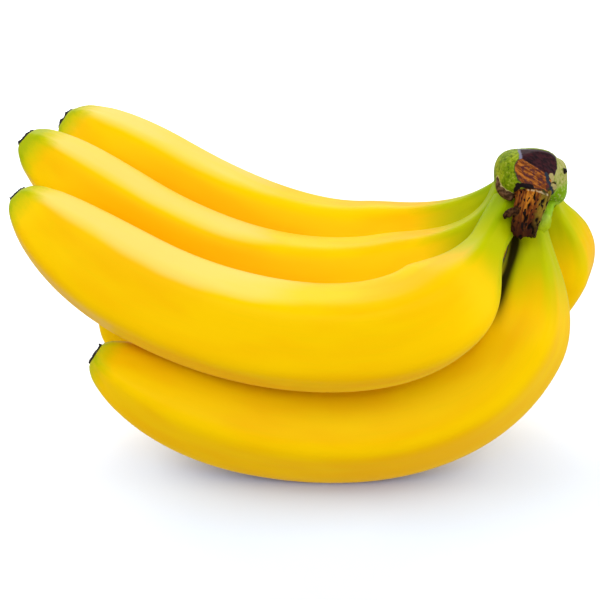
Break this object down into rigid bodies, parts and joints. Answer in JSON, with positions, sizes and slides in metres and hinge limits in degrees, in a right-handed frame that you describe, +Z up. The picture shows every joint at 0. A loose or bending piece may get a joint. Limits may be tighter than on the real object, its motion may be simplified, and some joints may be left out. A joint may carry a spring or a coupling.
{
  "type": "bunch of bananas",
  "caption": "Hand of ripe dessert bananas, still joined at a green crown with a brown knife cut and a torn stub, lying on the outer curves of its lower fruits.",
  "frame": {"origin": "under the middle of the bunch, on the surface it lies on", "axes": "+Z up; +X along the bunch, from the tips to the crown; +Y from the front fruits to the rear ones"},
  "size_m": [0.2004, 0.1288, 0.1093],
  "materials": {
    "ripe_peel": "ripe yellow peel with a soft waxy sheen, green towards the stalk and the tip",
    "crown_skin": "mottled olive-green skin, with an orange-brown fibrous cut that has dried to dark purple",
    "dried_flower": "dry, black-brown and ragged"
  },
  "bodies": {
    "root": {"crown": "crown_skin", "banana_upper_front": "ripe_peel", "banana_lower_front": "ripe_peel", "banana_upper_middle": "ripe_peel", "banana_upper_rear": "ripe_peel", "banana_lower_rear": "ripe_peel", "flower_end_upper_front": "dried_flower", "flower_end_lower_front": "dried_flower", "flower_end_upper_middle": "dried_flower", "flower_end_upper_rear": "dried_flower", "flower_end_lower_rear": "dried_flower"}
  },
  "joints": []
}
